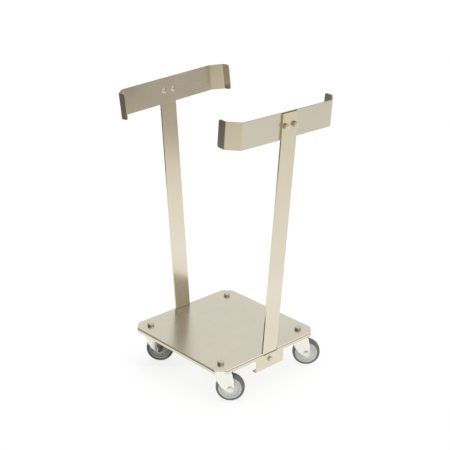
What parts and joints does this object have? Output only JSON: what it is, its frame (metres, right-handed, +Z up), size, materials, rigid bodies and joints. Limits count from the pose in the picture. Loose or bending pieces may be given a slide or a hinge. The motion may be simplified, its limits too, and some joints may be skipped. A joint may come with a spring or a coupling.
{
  "type": "drum dolly",
  "caption": "Square steel dolly on swivel castors, with two leaning posts that hold bent clamp bars around a rectangular drum.",
  "frame": {"origin": "on the floor, under the middle of the deck", "axes": "+Z up; +X towards the right-hand post; +Y to the rear, along the clamp bars"},
  "size_m": [0.4732, 0.3704, 0.7698],
  "materials": {
    "deck_sheet": "brushed stainless sheet, warm grey, softly mirroring",
    "tray_sheet": "folded stainless sheet, brushed",
    "post_bar": "stainless flat bar, brushed lengthwise",
    "clamp_bar": "bent stainless sheet, brushed",
    "bolt_steel": "plain stainless bolt",
    "nut_steel": "plain stainless nut",
    "fork_steel": "bright pressed steel",
    "race_steel": "polished bearing steel",
    "sleeve_steel": "plain turned steel",
    "rim_plastic": "light grey moulded plastic, satin",
    "tyre_rubber": "dark grey rubber, matt"
  },
  "bodies": {
    "frame": {"deck": "deck_sheet", "tray": "tray_sheet", "post_right": "post_bar", "bar_right": "clamp_bar", "bar_bolt_right_front": "bolt_steel", "bar_nut_right_front": "nut_steel", "bar_bolt_right_rear": "bolt_steel", "bar_nut_right_rear": "nut_steel", "foot_bolt_right": "bolt_steel", "foot_nut_right": "nut_steel", "post_left": "post_bar", "bar_left": "clamp_bar", "bar_bolt_left_front": "bolt_steel", "bar_nut_left_front": "nut_steel", "bar_bolt_left_rear": "bolt_steel", "bar_nut_left_rear": "nut_steel", "foot_bolt_left": "bolt_steel", "foot_nut_left": "nut_steel", "castor_bolt_front_right": "bolt_steel", "castor_nut_front_right": "nut_steel", "swivel_cup_front_right": "fork_steel", "ball_ring_front_right": "race_steel", "castor_bolt_front_left": "bolt_steel", "castor_nut_front_left": "nut_steel", "swivel_cup_front_left": "fork_steel", "ball_ring_front_left": "race_steel", "castor_bolt_rear_right": "bolt_steel", "castor_nut_rear_right": "nut_steel", "swivel_cup_rear_right": "fork_steel", "ball_ring_rear_right": "race_steel", "castor_bolt_rear_left": "bolt_steel", "castor_nut_rear_left": "nut_steel", "swivel_cup_rear_left": "fork_steel", "ball_ring_rear_left": "race_steel"},
    "fork_body_front_right": {"fork_front_right": "fork_steel", "axle_bolt_front_right": "bolt_steel", "axle_nut_front_right": "nut_steel", "axle_sleeve_front_right": "sleeve_steel"},
    "wheel_body_front_right": {"wheel_rim_front_right": "rim_plastic", "tyre_front_right": "tyre_rubber"},
    "fork_body_front_left": {"fork_front_left": "fork_steel", "axle_bolt_front_left": "bolt_steel", "axle_nut_front_left": "nut_steel", "axle_sleeve_front_left": "sleeve_steel"},
    "wheel_body_front_left": {"wheel_rim_front_left": "rim_plastic", "tyre_front_left": "tyre_rubber"},
    "fork_body_rear_right": {"fork_rear_right": "fork_steel", "axle_bolt_rear_right": "bolt_steel", "axle_nut_rear_right": "nut_steel", "axle_sleeve_rear_right": "sleeve_steel"},
    "wheel_body_rear_right": {"wheel_rim_rear_right": "rim_plastic", "tyre_rear_right": "tyre_rubber"},
    "fork_body_rear_left": {"fork_rear_left": "fork_steel", "axle_bolt_rear_left": "bolt_steel", "axle_nut_rear_left": "nut_steel", "axle_sleeve_rear_left": "sleeve_steel"},
    "wheel_body_rear_left": {"wheel_rim_rear_left": "rim_plastic", "tyre_rear_left": "tyre_rubber"}
  },
  "joints": [
    {"name": "swivel_front_right", "type": "hinge", "parent": "frame", "child": "fork_body_front_right", "pos_m": [0.1417, -0.1408, 0.088], "axis": [0, 0, 1], "continuous": true},
    {"name": "wheel_spin_front_right", "type": "hinge", "parent": "fork_body_front_right", "child": "wheel_body_front_right", "pos_m": [0.15888, -0.12362, 0.0375], "axis": [0.7071, -0.7071, 0], "continuous": true},
    {"name": "swivel_front_left", "type": "hinge", "parent": "frame", "child": "fork_body_front_left", "pos_m": [-0.1417, -0.1408, 0.088], "axis": [0, 0, 1], "continuous": true},
    {"name": "wheel_spin_front_left", "type": "hinge", "parent": "fork_body_front_left", "child": "wheel_body_front_left", "pos_m": [-0.12452, -0.12362, 0.0375], "axis": [0.7071, -0.7071, 0], "continuous": true},
    {"name": "swivel_rear_right", "type": "hinge", "parent": "frame", "child": "fork_body_rear_right", "pos_m": [0.1417, 0.1408, 0.088], "axis": [0, 0, 1], "continuous": true},
    {"name": "wheel_spin_rear_right", "type": "hinge", "parent": "fork_body_rear_right", "child": "wheel_body_rear_right", "pos_m": [0.15888, 0.15798, 0.0375], "axis": [0.7071, -0.7071, 0], "continuous": true},
    {"name": "swivel_rear_left", "type": "hinge", "parent": "frame", "child": "fork_body_rear_left", "pos_m": [-0.1417, 0.1408, 0.088], "axis": [0, 0, 1], "continuous": true},
    {"name": "wheel_spin_rear_left", "type": "hinge", "parent": "fork_body_rear_left", "child": "wheel_body_rear_left", "pos_m": [-0.12452, 0.15798, 0.0375], "axis": [0.7071, -0.7071, 0], "continuous": true}
  ]
}
